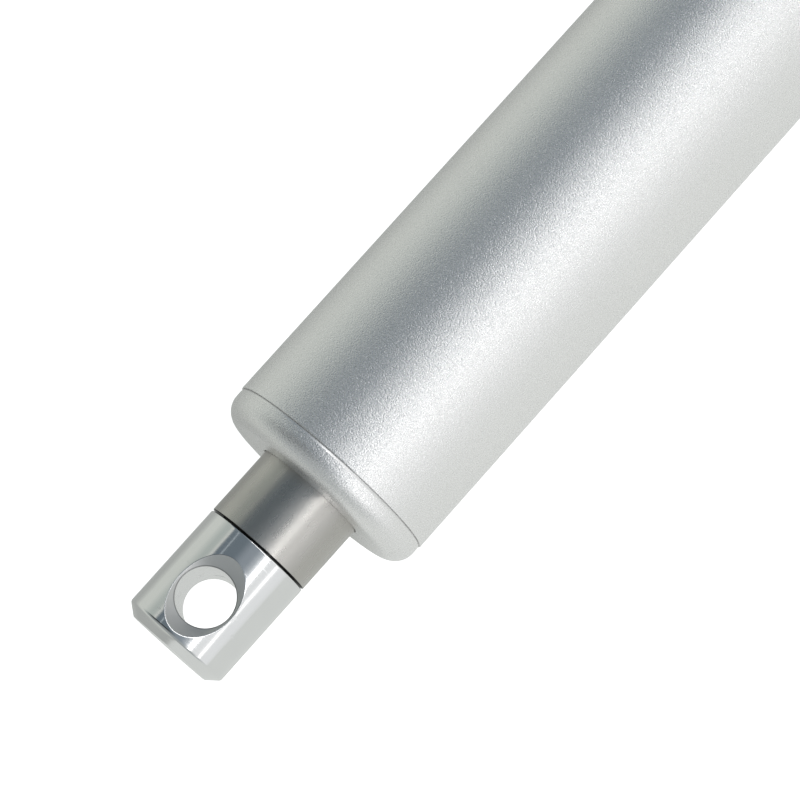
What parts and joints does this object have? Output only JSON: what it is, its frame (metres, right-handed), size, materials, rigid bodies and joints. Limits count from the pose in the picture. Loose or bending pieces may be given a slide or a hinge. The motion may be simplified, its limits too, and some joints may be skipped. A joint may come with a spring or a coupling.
{
  "type": "pen-type linear actuator",
  "caption": "Slim tubular electric linear actuator: motor, planetary gearbox and lead screw in a round tube push a round rod; an eye hole at each end.",
  "frame": {"origin": "centre of the rear eye hole", "axes": "+X along the tube towards the rod end, +Z along both eye holes"},
  "size_m": [0.185, 0.02, 0.02],
  "materials": {
    "blasted_aluminium": "bead blasted, clear anodised",
    "ground_steel": "centreless ground, polished",
    "bright_aluminium": "turned bright",
    "black_rubber": "moulded",
    "white_acetal": "machined",
    "plated_steel": "zinc plated",
    "ferrite": "sintered",
    "dark_plastic": "moulded",
    "bronze": "sintered",
    "brass": "machined",
    "copper": "enamelled wire and bare segments",
    "carbon": "pressed carbon",
    "core_steel": "stamped laminations",
    "gear_steel": "cut and oiled",
    "turned_steel": "turned",
    "machined_aluminium": "machined",
    "bearing_steel": "ground",
    "board_green": "solder mask",
    "red_button": "moulded",
    "lead_insulation": "extruded"
  },
  "bodies": {
    "housing": {"outer_tube": "blasted_aluminium", "front_cap": "blasted_aluminium", "front_seal_ring": "black_rubber", "guide_bush": "white_acetal", "rod_wiper": "black_rubber", "rear_cap": "blasted_aluminium", "rear_seal_ring": "black_rubber", "cable_grommet": "black_rubber", "motor_can": "plated_steel", "motor_magnets": "ferrite", "motor_end_bell": "dark_plastic", "motor_terminals": "brass", "motor_bushes": "bronze", "motor_brushes": "carbon", "gearbox_plate": "turned_steel", "gearbox_screws": "plated_steel", "gear_ring": "gear_steel", "gearbox_cover": "turned_steel", "output_bush": "bronze", "bearing_block": "machined_aluminium", "bearing_outer_ring": "bearing_steel", "bearing_circlip": "plated_steel", "tube_snap_ring": "plated_steel", "switch_board": "board_green", "rear_switch": "dark_plastic", "front_switch": "dark_plastic", "motor_leads": "lead_insulation"},
    "rotor": {"motor_shaft": "turned_steel", "armature_core": "core_steel", "armature_windings": "copper", "commutator": "copper", "first_sun_gear": "gear_steel"},
    "first_stage": {"first_carrier": "gear_steel", "second_sun_gear": "gear_steel"},
    "screw": {"output_carrier": "gear_steel", "shaft_coupling": "turned_steel", "coupling_pins": "turned_steel", "lead_screw": "turned_steel", "screw_tip_bush": "white_acetal", "bearing_inner_ring": "bearing_steel", "screw_circlip": "plated_steel"},
    "ball_set": {"bearing_balls": "bearing_steel", "bearing_cage": "dark_plastic"},
    "rod": {"drive_nut": "brass", "guide_shoe": "white_acetal", "rod_tube": "ground_steel", "rod_end": "bright_aluminium"},
    "rear_button": {"rear_switch_button": "red_button"},
    "front_button": {"front_switch_button": "red_button"},
    "first_planet_1": {"first_planet_1": "gear_steel"},
    "first_planet_2": {"first_planet_2": "gear_steel"},
    "first_planet_3": {"first_planet_3": "gear_steel"},
    "second_planet_1": {"second_planet_1": "gear_steel"},
    "second_planet_2": {"second_planet_2": "gear_steel"},
    "second_planet_3": {"second_planet_3": "gear_steel"}
  },
  "joints": [
    {"name": "rod_slide", "type": "slide", "parent": "housing", "child": "rod", "axis": [1, 0, 0], "range_m": [0, 0.05]},
    {"name": "motor_spin", "type": "hinge", "parent": "housing", "child": "rotor", "pos_m": [0, 0, 0], "axis": [-1, 0, 0], "range_deg": [0, 182250]},
    {"name": "first_carrier_spin", "type": "hinge", "parent": "housing", "child": "first_stage", "pos_m": [0, 0, 0], "axis": [-1, 0, 0], "range_deg": [0, 40500]},
    {"name": "screw_spin", "type": "hinge", "parent": "housing", "child": "screw", "pos_m": [0, 0, 0], "axis": [-1, 0, 0], "range_deg": [0, 9000]},
    {"name": "ball_set_spin", "type": "hinge", "parent": "housing", "child": "ball_set", "pos_m": [0, 0, 0], "axis": [-1, 0, 0], "range_deg": [0, 3487.5]},
    {"name": "first_planet_1_spin", "type": "hinge", "parent": "first_stage", "child": "first_planet_1", "pos_m": [0, 0.00405, 0], "axis": [-1, 0, 0], "range_deg": [-113400, 0]},
    {"name": "first_planet_2_spin", "type": "hinge", "parent": "first_stage", "child": "first_planet_2", "pos_m": [0, -0.00202, 0.00351], "axis": [-1, 0, 0], "range_deg": [-113400, 0]},
    {"name": "first_planet_3_spin", "type": "hinge", "parent": "first_stage", "child": "first_planet_3", "pos_m": [0, -0.00202, -0.00351], "axis": [-1, 0, 0], "range_deg": [-113400, 0]},
    {"name": "second_planet_1_spin", "type": "hinge", "parent": "screw", "child": "second_planet_1", "pos_m": [0, 0.00405, 0], "axis": [-1, 0, 0], "range_deg": [-25200, 0]},
    {"name": "second_planet_2_spin", "type": "hinge", "parent": "screw", "child": "second_planet_2", "pos_m": [0, -0.00202, 0.00351], "axis": [-1, 0, 0], "range_deg": [-25200, 0]},
    {"name": "second_planet_3_spin", "type": "hinge", "parent": "screw", "child": "second_planet_3", "pos_m": [0, -0.00202, -0.00351], "axis": [-1, 0, 0], "range_deg": [-25200, 0]},
    {"name": "rear_switch_press", "type": "slide", "parent": "housing", "child": "rear_button", "axis": [-1, 0, 0], "range_m": [0, 0.0005], "stiffness_N_per_m": 300},
    {"name": "front_switch_press", "type": "slide", "parent": "housing", "child": "front_button", "axis": [1, 0, 0], "range_m": [0, 0.0005], "stiffness_N_per_m": 300}
  ],
  "couplings": [
    {"joint": "motor_spin", "follows": "rod_slide", "rad_per_m": 63617},
    {"joint": "first_carrier_spin", "follows": "rod_slide", "rad_per_m": 14137},
    {"joint": "screw_spin", "follows": "rod_slide", "rad_per_m": 3141.6},
    {"joint": "ball_set_spin", "follows": "rod_slide", "rad_per_m": 1217.4},
    {"joint": "first_planet_1_spin", "follows": "rod_slide", "rad_per_m": -39584},
    {"joint": "first_planet_2_spin", "follows": "rod_slide", "rad_per_m": -39584},
    {"joint": "first_planet_3_spin", "follows": "rod_slide", "rad_per_m": -39584},
    {"joint": "second_planet_1_spin", "follows": "rod_slide", "rad_per_m": -8796.5},
    {"joint": "second_planet_2_spin", "follows": "rod_slide", "rad_per_m": -8796.5},
    {"joint": "second_planet_3_spin", "follows": "rod_slide", "rad_per_m": -8796.5}
  ]
}
